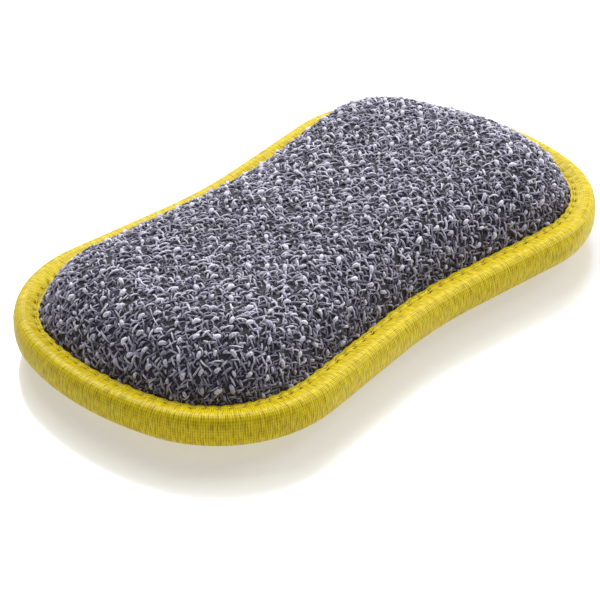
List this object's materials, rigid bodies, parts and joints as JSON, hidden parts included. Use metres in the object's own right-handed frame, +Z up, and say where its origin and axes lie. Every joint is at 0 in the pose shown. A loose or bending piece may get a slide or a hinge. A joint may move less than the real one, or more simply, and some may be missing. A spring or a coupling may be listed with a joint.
{
  "type": "washing up pad",
  "caption": "Washing up pad: nubbly scouring cloth over foam with a soft wiping back, waisted outline, stitched tape binding round the edge.",
  "frame": {"origin": "middle of the pad on the surface that it lies on, scouring cloth up", "axes": "+X along the pad's length, +Y across its width, +Z up out of the scouring cloth"},
  "size_m": [0.155, 0.0858, 0.0247],
  "materials": {
    "scouring_cloth": "nubbly knitted scouring cloth, matt",
    "wiping_cloth": "short-pile microfibre terry, matt",
    "foam": "open-cell foam, matt",
    "binding_tape": "ribbed woven tape, soft sheen",
    "sewing_thread": "spun polyester thread"
  },
  "bodies": {
    "root": {"scouring_face": "scouring_cloth", "foam_core": "foam", "back_face": "wiping_cloth", "edge_binding": "binding_tape", "needle_thread": "sewing_thread", "bobbin_thread": "sewing_thread"}
  },
  "joints": []
}
